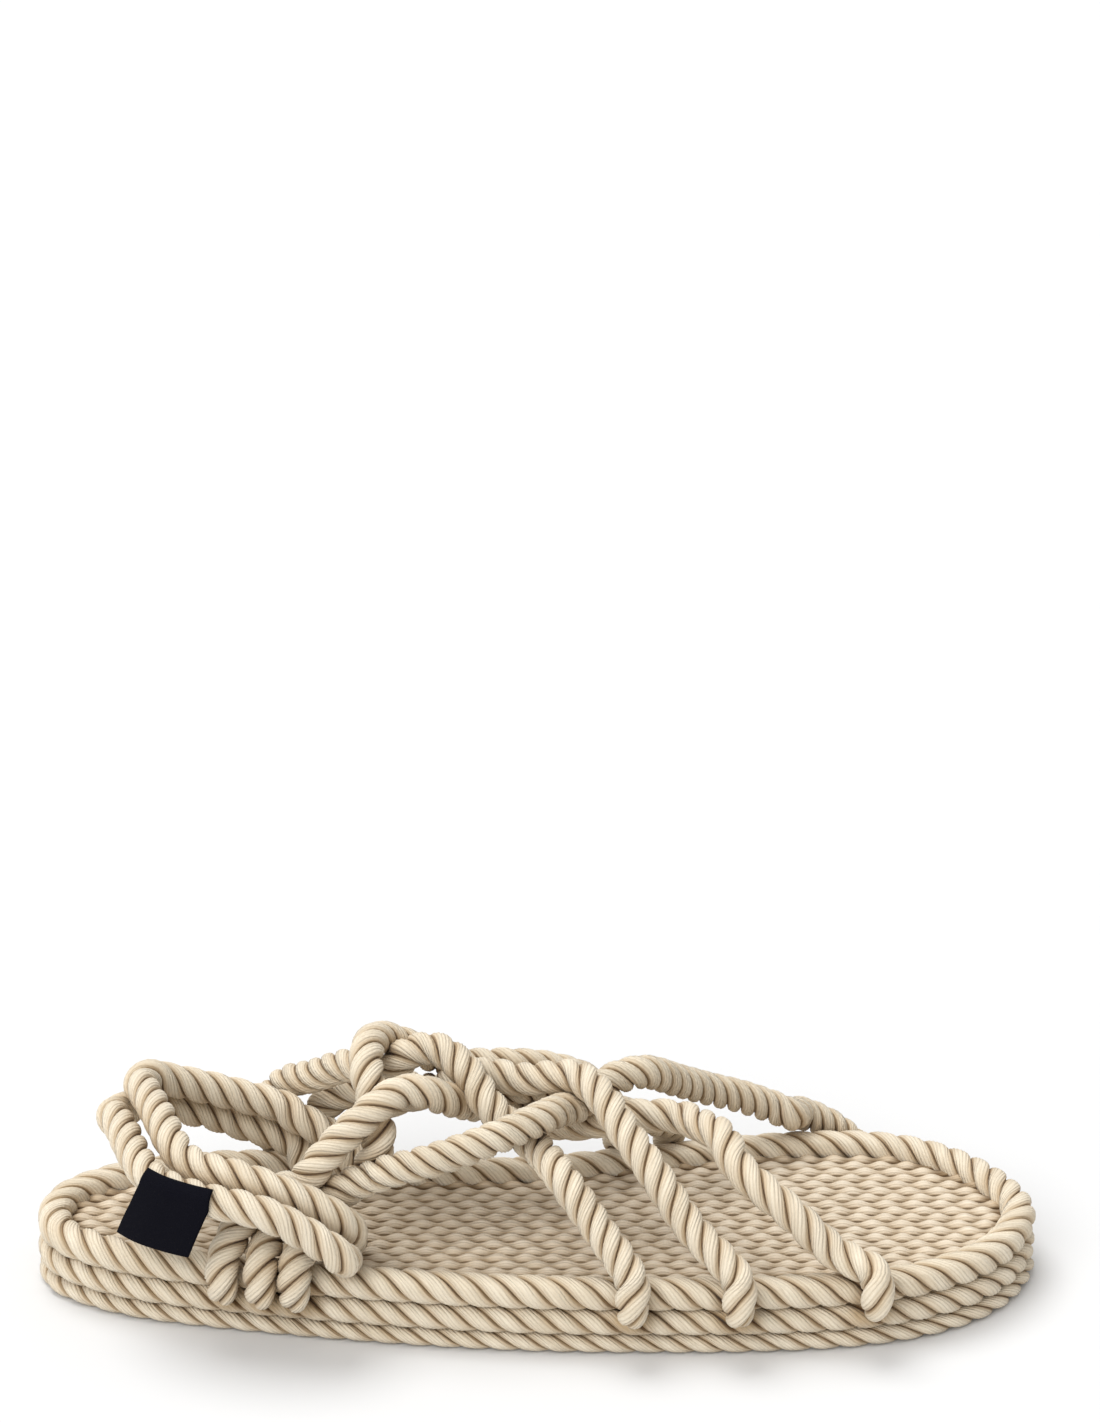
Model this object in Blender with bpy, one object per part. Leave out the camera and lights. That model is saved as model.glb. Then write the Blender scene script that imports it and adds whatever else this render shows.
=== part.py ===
"""A flat sandal made of rope: three turns of rope round a woven footbed, six crossed straps and a slack heel strap.

The shoe points along +X and stands on z = 0. Its lateral side is at -Y and its arch at +Y, so it is a right shoe.
Lengths in the tables are shares of the named sizes. A strap's table gives its route by hand, and its two ends are
worked out from the rim that they hook over.
"""

import math

import bmesh
import bpy
import numpy as np
from mathutils import Matrix

# Driving sizes, in metres
SOLE_LENGTH = 0.280
BALL_WIDTH = 0.100
INSTEP_HEIGHT = 0.070
HEEL_STRAP_HEIGHT = 0.058
ROPE_DIAMETER = 0.0098
BOTTOM_ROPE_HEIGHT = 0.0048
MIDDLE_ROPE_HEIGHT = 0.0071
TOP_ROPE_HEIGHT = 0.0085
FOOTBED_HEIGHT = 0.0166
FOOTBED_ROW_PITCH = 0.0066
FOOTBED_ROW_RELIEF = 0.0012
LABEL_WIDTH = 0.0195
LABEL_DROP = 0.0150
LABEL_THICKNESS = 0.0010
GAP = 0.0003

# Fineness of the meshes
RIM_SIDES = 10
RIM_STEPS = 66
STRAP_SIDES = 8
STRAP_STEP = 0.0090
STRAP_TURN = math.radians(28)
LABEL_STATIONS = 6

ROPE_RADIUS = ROPE_DIAMETER / 2
MIDDLE_ROPE_BASE = BOTTOM_ROPE_HEIGHT + GAP
TOP_ROPE_BASE = MIDDLE_ROPE_BASE + MIDDLE_ROPE_HEIGHT + GAP
TOP_ROPE_AXIS = TOP_ROPE_BASE + TOP_ROPE_HEIGHT / 2
SOLE_THICKNESS = TOP_ROPE_BASE + TOP_ROPE_HEIGHT

ROPE_COLOUR = (0.63, 0.51, 0.33, 1.0)
LABEL_COLOUR = (0.012, 0.012, 0.016, 1.0)

# The line that the three turns of rope follow: along is the share of its length, near and far are its two sides
# as shares of its width at the ball
SOLE_LINE = [
    # along, near, far
    (0.013, -0.127, 0.139),
    (0.045, -0.211, 0.233),
    (0.093, -0.285, 0.305),
    (0.148, -0.333, 0.344),
    (0.204, -0.371, 0.355),
    (0.259, -0.405, 0.336),
    (0.315, -0.435, 0.303),
    (0.370, -0.461, 0.286),
    (0.444, -0.488, 0.295),
    (0.537, -0.508, 0.336),
    (0.618, -0.512, 0.388),
    (0.704, -0.509, 0.449),
    (0.778, -0.493, 0.488),
    (0.852, -0.452, 0.490),
    (0.907, -0.386, 0.436),
    (0.952, -0.286, 0.327),
    (0.983, -0.155, 0.194),
]
TOE_TIP_ACROSS = 0.028

# Each strap: where it is tucked under the rim at the forefoot and at the heel, as shares of the sole's length, the
# side of its forefoot end (-1 near, 1 far), how far back it leans there on its way up, and the points it passes over
# the instep to the other side
FRONT_STRAPS = {
    "near_first": dict(
        forefoot=0.593,
        heel=0.229,
        side=-1,
        lean=0.000,
        route=[
            # along, across, up
            (0.554, -0.410, 0.521),
            (0.523, -0.300, 0.636),
            (0.502, -0.180, 0.664),
            (0.464, -0.110, 0.757),
            (0.449, -0.085, 0.816),
            (0.435, -0.035, 0.882),
            (0.422, 0.000, 0.920),
            (0.408, 0.030, 0.948),
            (0.394, 0.050, 0.950),
            (0.372, 0.065, 0.921),
            (0.352, 0.090, 0.821),
            (0.329, 0.135, 0.807),
            (0.309, 0.190, 0.779),
            (0.273, 0.280, 0.671),
            (0.248, 0.350, 0.600),
            (0.232, 0.395, 0.507),
        ],
    ),
    "near_second": dict(
        forefoot=0.695,
        heel=0.266,
        side=-1,
        lean=0.000,
        route=[
            (0.650, -0.425, 0.500),
            (0.611, -0.310, 0.679),
            (0.584, -0.210, 0.779),
            (0.562, -0.110, 0.857),
            (0.539, -0.030, 0.879),
            (0.511, 0.010, 0.850),
            (0.484, 0.040, 0.821),
            (0.461, 0.065, 0.821),
            (0.441, 0.090, 0.807),
            (0.421, 0.125, 0.750),
            (0.393, 0.180, 0.679),
            (0.364, 0.240, 0.650),
            (0.329, 0.310, 0.600),
            (0.296, 0.345, 0.536),
            (0.277, 0.360, 0.450),
        ],
    ),
    "near_third": dict(
        forefoot=0.823,
        heel=0.304,
        side=-1,
        lean=0.000,
        route=[
            (0.791, -0.425, 0.393),
            (0.745, -0.380, 0.543),
            (0.698, -0.290, 0.664),
            (0.682, -0.195, 0.731),
            (0.663, -0.110, 0.720),
            (0.642, -0.040, 0.710),
            (0.582, 0.000, 0.684),
            (0.552, 0.050, 0.623),
            (0.515, 0.112, 0.583),
            (0.488, 0.192, 0.597),
            (0.457, 0.235, 0.629),
            (0.429, 0.270, 0.629),
            (0.400, 0.295, 0.600),
            (0.375, 0.315, 0.564),
            (0.346, 0.335, 0.514),
            (0.323, 0.345, 0.443),
        ],
    ),
    "far_first": dict(
        forefoot=0.591,
        heel=0.237,
        side=1,
        lean=0.000,
        route=[
            (0.554, 0.330, 0.607),
            (0.512, 0.270, 0.714),
            (0.475, 0.230, 0.757),
            (0.422, 0.231, 0.761),
            (0.379, 0.169, 0.868),
            (0.346, 0.128, 0.944),
            (0.333, 0.031, 0.973),
            (0.332, -0.060, 0.929),
            (0.341, -0.130, 0.811),
            (0.345, -0.185, 0.731),
            (0.341, -0.203, 0.656),
            (0.325, -0.200, 0.549),
            (0.304, -0.200, 0.479),
            (0.275, -0.205, 0.414),
            (0.254, -0.255, 0.407),
            (0.241, -0.315, 0.403),
        ],
    ),
    "far_second": dict(
        forefoot=0.643,
        heel=0.200,
        side=1,
        lean=0.000,
        route=[
            (0.611, 0.335, 0.443),
            (0.582, 0.265, 0.521),
            (0.550, 0.205, 0.586),
            (0.521, 0.170, 0.671),
            (0.493, 0.145, 0.721),
            (0.465, 0.120, 0.705),
            (0.446, 0.071, 0.692),
            (0.426, -0.016, 0.757),
            (0.408, -0.083, 0.823),
            (0.388, -0.125, 0.879),
            (0.366, -0.150, 0.896),
            (0.346, -0.192, 0.871),
            (0.327, -0.225, 0.821),
            (0.307, -0.255, 0.757),
            (0.289, -0.280, 0.686),
            (0.270, -0.300, 0.607),
            (0.239, -0.310, 0.564),
            (0.216, -0.325, 0.486),
        ],
    ),
    "far_third": dict(
        forefoot=0.843,
        heel=0.270,
        side=1,
        lean=0.070,
        route=[
            (0.759, 0.435, 0.395),
            (0.738, 0.420, 0.441),
            (0.706, 0.375, 0.517),
            (0.675, 0.325, 0.583),
            (0.644, 0.250, 0.670),
            (0.604, 0.130, 0.793),
            (0.575, 0.085, 0.789),
            (0.552, 0.045, 0.750),
            (0.539, -0.030, 0.753),
            (0.521, -0.100, 0.779),
            (0.501, -0.180, 0.797),
            (0.454, -0.270, 0.769),
            (0.396, -0.310, 0.707),
            (0.353, -0.300, 0.652),
            (0.340, -0.290, 0.623),
            (0.307, -0.285, 0.563),
            (0.283, -0.305, 0.471),
            (0.274, -0.348, 0.411),
        ],
    ),
}

# The two ropes of the heel strap, from the near side round the back to the far side. Their height is a share of
# the strap's own height, and their ends rest on the rim or the footbed
HEEL_ROPES = {
    "heel_strap_upper": dict(
        seats=("footbed", "footbed"),
        ends=((0.316, -0.250), (0.327, 0.175)),
        route=[
            # along, across, up
            (0.316, -0.300, 0.424),
            (0.317, -0.360, 0.538),
            (0.301, -0.402, 0.645),
            (0.280, -0.407, 0.711),
            (0.241, -0.405, 0.793),
            (0.202, -0.375, 0.836),
            (0.174, -0.335, 0.838),
            (0.156, -0.294, 0.851),
            (0.143, -0.240, 0.884),
            (0.135, -0.180, 0.906),
            (0.123, -0.080, 0.928),
            (0.113, -0.000, 0.936),
            (0.105, 0.070, 0.942),
            (0.113, 0.125, 0.939),
            (0.132, 0.165, 0.885),
            (0.171, 0.204, 0.809),
            (0.211, 0.220, 0.742),
            (0.241, 0.218, 0.703),
            (0.261, 0.203, 0.643),
            (0.279, 0.196, 0.602),
            (0.304, 0.185, 0.505),
        ],
    ),
    "heel_strap_lower": dict(
        seats=("rim", "footbed"),
        ends=((0.314, -0.446), (0.268, 0.206)),
        route=[
            (0.312, -0.496, 0.500),
            (0.299, -0.516, 0.572),
            (0.278, -0.515, 0.644),
            (0.262, -0.515, 0.691),
            (0.242, -0.515, 0.743),
            (0.213, -0.495, 0.772),
            (0.184, -0.465, 0.777),
            (0.164, -0.435, 0.778),
            (0.143, -0.399, 0.785),
            (0.123, -0.341, 0.796),
            (0.112, -0.283, 0.809),
            (0.103, -0.217, 0.825),
            (0.095, -0.147, 0.840),
            (0.089, -0.092, 0.847),
            (0.080, -0.022, 0.841),
            (0.082, 0.067, 0.795),
            (0.096, 0.132, 0.775),
            (0.111, 0.181, 0.738),
            (0.129, 0.214, 0.702),
            (0.149, 0.237, 0.668),
            (0.169, 0.252, 0.635),
            (0.189, 0.258, 0.595),
            (0.210, 0.255, 0.561),
            (0.237, 0.254, 0.517),
            (0.252, 0.247, 0.483),
            (0.261, 0.233, 0.441),
        ],
    ),
}

# The strap's end as it turns over the rim: the angle about the rim rope, below or above the level of its axis, then
# the rope's thickness and its slack above the rim, as shares of its radius. It thins where it is tucked between the
# two turns
HOOK = [
    # angle, thickness, slack
    (-36.0, 0.42, 0.00),
    (-14.0, 0.82, 0.00),
    (14.0, 0.98, 0.04),
    (45.0, 1.00, 0.14),
]

LABEL_AT = 0.320  # share of the lower heel rope's length, from its near end


def clear_scene():
    for obj in list(bpy.data.objects):
        bpy.data.objects.remove(obj, do_unlink=True)


def smooth_curve(points, steps=12, closed=False):
    """The smooth curve through the points: a centripetal Catmull-Rom spline, which has no loops or overshoots."""
    knots = np.asarray(points, float)
    if closed:
        knots = np.concatenate([knots[-1:], knots, knots[:2]])
    else:
        first = 2 * knots[:1] - knots[1:2]
        last = 2 * knots[-1:] - knots[-2:-1]
        knots = np.concatenate([first, knots, last])
    pieces = []
    for p0, p1, p2, p3 in zip(knots, knots[1:], knots[2:], knots[3:]):
        t1 = np.linalg.norm(p1 - p0) ** 0.5
        t2 = t1 + np.linalg.norm(p2 - p1) ** 0.5
        t3 = t2 + np.linalg.norm(p3 - p2) ** 0.5
        t = np.linspace(t1, t2, steps, endpoint=False)[:, None]
        a1 = (t1 - t) / t1 * p0 + t / t1 * p1
        a2 = (t2 - t) / (t2 - t1) * p1 + (t - t1) / (t2 - t1) * p2
        a3 = (t3 - t) / (t3 - t2) * p2 + (t - t2) / (t3 - t2) * p3
        b1 = (t2 - t) / t2 * a1 + t / t2 * a2
        b2 = (t3 - t) / (t3 - t1) * a2 + (t - t1) / (t3 - t1) * a3
        pieces.append((t2 - t) / (t2 - t1) * b1 + (t - t1) / (t2 - t1) * b2)
    if not closed:
        pieces.append(knots[-2:-1])
    return np.concatenate(pieces)


def evenly(curve, count, closed=False):
    """The curve read again at count places, equally far apart along it. Columns after the third ride along."""
    if closed:
        curve = np.concatenate([curve, curve[:1]])
    lengths = np.linalg.norm(np.diff(curve[:, :3], axis=0), axis=1)
    along = np.concatenate([[0], np.cumsum(lengths)])
    places = np.linspace(0, along[-1], count, endpoint=not closed)
    return np.stack([np.interp(places, along, column) for column in curve.T], axis=1)


def unit(vectors):
    return vectors / np.linalg.norm(vectors, axis=-1, keepdims=True)


def ring_rows(curve):
    """The curve read again where a tube needs its rings: one for each step of length, and more where it turns."""
    steps = np.diff(curve[:, :3], axis=0)
    ways = unit(steps)
    turns = np.arccos(np.clip((ways[1:] * ways[:-1]).sum(axis=1), -1, 1))
    shared = np.concatenate([[0], turns]) / 2 + np.concatenate([turns, [0]]) / 2
    rings = np.linalg.norm(steps, axis=1) / STRAP_STEP + shared / STRAP_TURN
    along = np.concatenate([[0], np.cumsum(rings)])
    places = np.linspace(0, along[-1], math.ceil(along[-1]) + 1)
    return np.stack([np.interp(places, along, column) for column in curve.T], axis=1)


def sole_line():
    """The middle of the rope turns, seen from above, counter-clockwise from the heel, as (x, y, 0) rows."""
    length = SOLE_LENGTH - ROPE_DIAMETER
    width = BALL_WIDTH - ROPE_DIAMETER
    near = [(ROPE_RADIUS + along * length, near * width, 0) for along, near, far in SOLE_LINE]
    far = [(ROPE_RADIUS + along * length, far * width, 0) for along, near, far in SOLE_LINE]
    heel = (ROPE_RADIUS, 0, 0)
    toe = (ROPE_RADIUS + length, TOE_TIP_ACROSS * width, 0)
    loop = smooth_curve([heel, *near, toe, *reversed(far)], closed=True)
    return evenly(loop, RIM_STEPS, closed=True)


LINE = sole_line()


def outward(line):
    """The direction that points out of the shoe at each place of the closed line."""
    tangent = unit(np.roll(line, -1, axis=0) - np.roll(line, 1, axis=0))
    return np.stack([tangent[:, 1], -tangent[:, 0], np.zeros(len(line))], axis=1)


def rim_at(x, side):
    """The middle of the rim at this x on the near side (-1) or the far side (1), and the way out of the shoe."""
    rows = np.concatenate([LINE, outward(LINE)], axis=1)
    rows = rows[rows[:, 1] * side > 0]
    rows = rows[np.argsort(rows[:, 0])]
    here = np.array([np.interp(x, rows[:, 0], column) for column in rows.T])
    return here[:3], unit(here[3:])


def on_foot(rows, height):
    """A table's shares as places in metres."""
    return [(along * SOLE_LENGTH, across * BALL_WIDTH, up * height) for along, across, up in rows]


def hook(along, side, lean=0.0):
    """A strap's end over the rim, from the tuck under the top rope to its top, as rows (x, y, z, radius)."""
    rows = []
    for angle, thickness, slack in HOOK:
        risen = (angle - HOOK[0][0]) / (HOOK[-1][0] - HOOK[0][0])
        middle, out = rim_at((along - lean * risen) * SOLE_LENGTH, side)
        c = math.cos(math.radians(angle))
        s = math.sin(math.radians(angle))
        rim = 1 / math.hypot(c / ROPE_RADIUS, s / (TOP_ROPE_HEIGHT / 2))
        radius = thickness * ROPE_RADIUS
        reach = rim + GAP + radius + slack * ROPE_RADIUS
        place = middle + out * reach * c + (0, 0, TOP_ROPE_AXIS + reach * s)
        rows.append((*place, radius))
    return rows


def strap_curve(strap):
    """The whole route of one front strap, as rows (x, y, z, radius)."""
    middle = [(*place, ROPE_RADIUS) for place in on_foot(strap["route"], INSTEP_HEIGHT)]
    start = hook(strap["forefoot"], strap["side"], strap["lean"])
    end = hook(strap["heel"], -strap["side"])
    return smooth_curve([*start, *middle, *reversed(end)])


def heel_curve(rope):
    """The whole route of one heel rope, as rows (x, y, z, radius)."""
    seat = {
        "footbed": FOOTBED_HEIGHT + GAP + ROPE_RADIUS,
        "rim": SOLE_THICKNESS + GAP + ROPE_RADIUS,
    }
    first, last = (
        (along * SOLE_LENGTH, across * BALL_WIDTH, seat[name])
        for (along, across), name in zip(rope["ends"], rope["seats"])
    )
    places = [first, *on_foot(rope["route"], HEEL_STRAP_HEIGHT), last]
    return smooth_curve([(*place, ROPE_RADIUS) for place in places])


def mesh_object(name, points, faces, helper=False):
    """A new object that holds this mesh. A helper only shapes other objects and is left out of the model."""
    mesh = bpy.data.meshes.new(name)
    mesh.from_pydata([tuple(p) for p in points], [], faces)
    mesh.validate()
    obj = bpy.data.objects.new(name, mesh)
    bpy.context.scene.collection.objects.link(obj)
    if helper:
        obj.hide_render = True
        obj.display_type = "WIRE"
    return obj


def strip_faces(rings, sides, closed):
    """The quads between rings of points, wound to face outwards, and the two end caps of an open tube."""
    faces = []
    for ring in range(rings if closed else rings - 1):
        here = ring * sides
        there = (ring + 1) % rings * sides
        for k in range(sides):
            after = (k + 1) % sides
            faces.append((here + k, here + after, there + after, there + k))
    if not closed:
        faces.append(tuple(reversed(range(sides))))
        faces.append(tuple((rings - 1) * sides + k for k in range(sides)))
    return faces


def tube(name, curve, helper=False):
    """A round rope along rows (x, y, z, radius). Each ring is turned as little as possible from the one before."""
    rows = ring_rows(curve)
    places = rows[:, :3]
    ways = unit(np.diff(places, axis=0))
    tangents = unit(np.concatenate([ways[:1], ways[1:] + ways[:-1], ways[-1:]]))
    normal = unit(np.cross(tangents[0], (1.0, 0.0, 0.0)))
    rings = []
    angles = 2 * math.pi * (np.arange(STRAP_SIDES) + 0.5) / STRAP_SIDES
    for place, tangent, radius in zip(places, tangents, rows[:, 3]):
        normal = unit(normal - tangent * (normal @ tangent))
        beside = np.cross(tangent, normal)
        rings.append(place + radius * (np.outer(np.cos(angles), normal) + np.outer(np.sin(angles), beside)))
    return mesh_object(name, np.concatenate(rings), strip_faces(len(rings), STRAP_SIDES, False), helper)


def rim_turn(name, base, height):
    """One turn of rope round the sole, with a flat under it and on it, from base up to base + height."""
    angles = 2 * math.pi * np.arange(RIM_SIDES) / RIM_SIDES
    flat_angle = math.radians(90 - 180 / RIM_SIDES)
    out = ROPE_RADIUS * np.cos(angles)
    up = base + height / 2 + height / 2 / math.sin(flat_angle) * np.sin(angles)
    normals = outward(LINE)
    rings = LINE[:, None] + normals[:, None] * out[None, :, None]
    rings[:, :, 2] = up
    return mesh_object(name, rings.reshape(-1, 3), strip_faces(len(LINE), RIM_SIDES, True))


def faced_outwards(obj):
    mesh = obj.data
    work = bmesh.new()
    work.from_mesh(mesh)
    bmesh.ops.recalc_face_normals(work, faces=work.faces)
    work.to_mesh(mesh)
    work.free()


def boolean(obj, other, operation):
    modifier = obj.modifiers.new(operation.title(), "BOOLEAN")
    modifier.operation = operation
    modifier.solver = "EXACT"
    modifier.object = other


def footbed():
    """The mat inside the turns: a slab with a rounded ridge for each lengthwise row, cut to the turns' inner line."""
    rows = round(BALL_WIDTH / FOOTBED_ROW_PITCH)
    valley = FOOTBED_HEIGHT - FOOTBED_ROW_RELIEF
    # across the ridge: share of the pitch, share of the relief
    ridge = [(0.0, 0.0), (0.2, 0.75), (0.5, 1.0), (0.8, 0.75)]
    top = [
        ((row - rows / 2 + share) * FOOTBED_ROW_PITCH, valley + relief * FOOTBED_ROW_RELIEF)
        for row in range(rows)
        for share, relief in ridge
    ]
    top.append((rows / 2 * FOOTBED_ROW_PITCH, valley))
    low = -FOOTBED_ROW_PITCH
    profile = [(top[0][0], low), *top, (top[-1][0], low)]
    points = [(x, y, z) for x in (0.0, SOLE_LENGTH) for y, z in profile]
    slab = mesh_object("footbed", points, strip_faces(2, len(profile), False))
    faced_outwards(slab)
    inner = LINE - outward(LINE) * (ROPE_RADIUS + GAP)
    prism = np.concatenate([inner, inner + (0, 0, SOLE_THICKNESS)])
    cutter = mesh_object("footbed_outline", prism, strip_faces(2, len(inner), False), helper=True)
    faced_outwards(cutter)
    boolean(slab, cutter, "INTERSECT")
    return slab


def front_straps():
    """The six crossed ropes joined into one solid."""
    ropes = []
    for name, strap in FRONT_STRAPS.items():
        ropes.append(tube("front_straps" if not ropes else name, strap_curve(strap), helper=bool(ropes)))
        faced_outwards(ropes[-1])
    for rope in ropes[1:]:
        boolean(ropes[0], rope, "UNION")
    return ropes[0]


def heel_strap(name):
    obj = tube(name, heel_curve(HEEL_ROPES[name]))
    faced_outwards(obj)
    return obj


def label():
    """A folded cloth patch: it rounds the outer side of the lower heel rope, follows its bend and hangs down from it."""
    fine = evenly(heel_curve(HEEL_ROPES["heel_strap_lower"]), 800)
    length = np.linalg.norm(np.diff(fine[:, :3], axis=0), axis=1).sum()
    stations = (LABEL_AT + np.linspace(-0.5, 0.5, LABEL_STATIONS) * LABEL_WIDTH / length) * len(fine)
    inner = ROPE_RADIUS + 2 * GAP
    outer = inner + LABEL_THICKNESS
    turns = np.radians(np.linspace(78, 0, 7))
    inside = [(inner * math.cos(a), inner * math.sin(a)) for a in turns] + [(inner, -LABEL_DROP)]
    outside = [(outer * math.cos(a), outer * math.sin(a)) for a in turns] + [(outer, -LABEL_DROP)]
    section = [*outside, *reversed(inside)]
    points = []
    for at in stations.round().astype(int):
        middle = fine[at, :3]
        along = unit(fine[at + 8, :3] - fine[at - 8, :3])
        out = unit(np.cross(along, (0.0, 0.0, 1.0)))
        if out[1] > 0:
            out = -out
        up = unit(np.cross(out, along))
        up = up if up[2] > 0 else -up
        points += [middle + out * o + up * u for o, u in section]
    obj = mesh_object("label", points, strip_faces(len(stations), len(section), False))
    faced_outwards(obj)
    return obj


def stand_on_origin(footbed_piece):
    """Move every mesh so that the middle of the sandal's bounding box stands over the origin.

    The footbed is measured by the rope round it, because its own slab is longer than the sole until it is cut.
    """
    objects = list(bpy.data.objects)
    cutter = footbed_piece.modifiers[0].object
    corners = [np.array(o.bound_box) for o in objects if o not in (footbed_piece, cutter)]
    low = np.concatenate(corners).min(axis=0)
    high = np.concatenate(corners).max(axis=0)
    middle = (low + high) / 2
    for obj in objects:
        obj.data.transform(Matrix.Translation((-middle[0], -middle[1], 0.0)))


def coloured(obj, colour, roughness):
    material = bpy.data.materials.new(obj.name + "_finish")
    material.use_nodes = True
    shader = material.node_tree.nodes["Principled BSDF"]
    shader.inputs["Base Color"].default_value = colour
    shader.inputs["Roughness"].default_value = roughness
    shader.inputs["Metallic"].default_value = 0.0
    obj.data.materials.append(material)
    obj.data.shade_smooth()
    obj.data.set_sharp_from_angle(angle=math.radians(50))


def main():
    clear_scene()
    pieces = [
        rim_turn("bottom_rope", 0.0, BOTTOM_ROPE_HEIGHT),
        rim_turn("middle_rope", MIDDLE_ROPE_BASE, MIDDLE_ROPE_HEIGHT),
        rim_turn("top_rope", TOP_ROPE_BASE, TOP_ROPE_HEIGHT),
        footbed(),
        front_straps(),
        heel_strap("heel_strap_upper"),
        heel_strap("heel_strap_lower"),
        label(),
    ]
    for piece in pieces[:3]:
        faced_outwards(piece)
    stand_on_origin(pieces[3])
    for piece in pieces[:-1]:
        coloured(piece, ROPE_COLOUR, 0.85)
    coloured(pieces[-1], LABEL_COLOUR, 0.7)


main()
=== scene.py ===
# %% [markdown]
# A rope sandal: three turns of thick twisted rope form the edge of the sole, a woven mat of thin cords
# fills it as the footbed, six ropes cross over the instep and a slack pair of ropes goes round the heel.
# The CAD frame gives every piece its place and size. This script gives them their look: real twisted
# strands in place of smooth tubes, cloth for the label, and the photograph's camera and light.

# %% Load the frame
import math

import bpy
import numpy as np
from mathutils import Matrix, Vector


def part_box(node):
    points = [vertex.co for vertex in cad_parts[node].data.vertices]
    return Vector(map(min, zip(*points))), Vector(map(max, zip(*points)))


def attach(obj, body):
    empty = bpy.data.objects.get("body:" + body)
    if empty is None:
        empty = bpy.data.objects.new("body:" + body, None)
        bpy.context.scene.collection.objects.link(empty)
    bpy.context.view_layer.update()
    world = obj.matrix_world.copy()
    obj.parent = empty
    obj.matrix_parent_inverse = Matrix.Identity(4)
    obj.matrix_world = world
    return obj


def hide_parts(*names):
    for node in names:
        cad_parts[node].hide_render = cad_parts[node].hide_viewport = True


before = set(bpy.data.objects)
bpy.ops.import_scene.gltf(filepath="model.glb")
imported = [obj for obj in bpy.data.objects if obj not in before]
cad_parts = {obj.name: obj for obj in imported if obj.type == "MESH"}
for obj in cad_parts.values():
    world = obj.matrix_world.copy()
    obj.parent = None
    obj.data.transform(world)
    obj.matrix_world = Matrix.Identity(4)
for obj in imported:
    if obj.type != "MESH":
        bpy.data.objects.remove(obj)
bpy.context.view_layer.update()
print("frame pieces:", sorted(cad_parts))

# %% [markdown]
# The sizes are those of the CAD part, and so are the tables that follow. They could be measured from the
# frame's meshes, but named sizes are easier to read, and shares of them keep both files in step.

# %% Sizes, in metres
SOLE_LENGTH = 0.280
BALL_WIDTH = 0.100
INSTEP_HEIGHT = 0.070
HEEL_STRAP_HEIGHT = 0.058
ROPE_RADIUS = 0.0049
BOTTOM_ROPE_HEIGHT = 0.0048
MIDDLE_ROPE_HEIGHT = 0.0071
TOP_ROPE_HEIGHT = 0.0085
FOOTBED_HEIGHT = 0.0166
GAP = 0.0003  # between pieces that rest on one another
MIDDLE_ROPE_BASE = BOTTOM_ROPE_HEIGHT + GAP
TOP_ROPE_BASE = MIDDLE_ROPE_BASE + MIDDLE_ROPE_HEIGHT + GAP
TOP_ROPE_AXIS = TOP_ROPE_BASE + TOP_ROPE_HEIGHT / 2
SOLE_THICKNESS = TOP_ROPE_BASE + TOP_ROPE_HEIGHT
print("sole:", SOLE_LENGTH, "long,", round(SOLE_THICKNESS, 4), "thick")

# %% [markdown]
# The sole follows a foot: a round heel, a hollow at the arch and a wide ball. Its outline could be put
# together from arcs, but a table of places along the sole, each with its near and its far edge, comes
# closer and is easy to correct.

# %% The sole's line, as shares of the sole's length and of the ball's width
SOLE_LINE = [
    # along, near, far
    (0.013, -0.127, 0.139),
    (0.045, -0.211, 0.233),
    (0.093, -0.285, 0.305),
    (0.148, -0.333, 0.344),
    (0.204, -0.371, 0.355),
    (0.259, -0.405, 0.336),
    (0.315, -0.435, 0.303),
    (0.370, -0.461, 0.286),
    (0.444, -0.488, 0.295),
    (0.537, -0.508, 0.336),
    (0.618, -0.512, 0.388),
    (0.704, -0.509, 0.449),
    (0.778, -0.493, 0.488),
    (0.852, -0.452, 0.490),
    (0.907, -0.386, 0.436),
    (0.952, -0.286, 0.327),
    (0.983, -0.155, 0.194),
]
TOE_TIP_ACROSS = 0.028
print("sole line:", len(SOLE_LINE), "places on each side")
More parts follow.
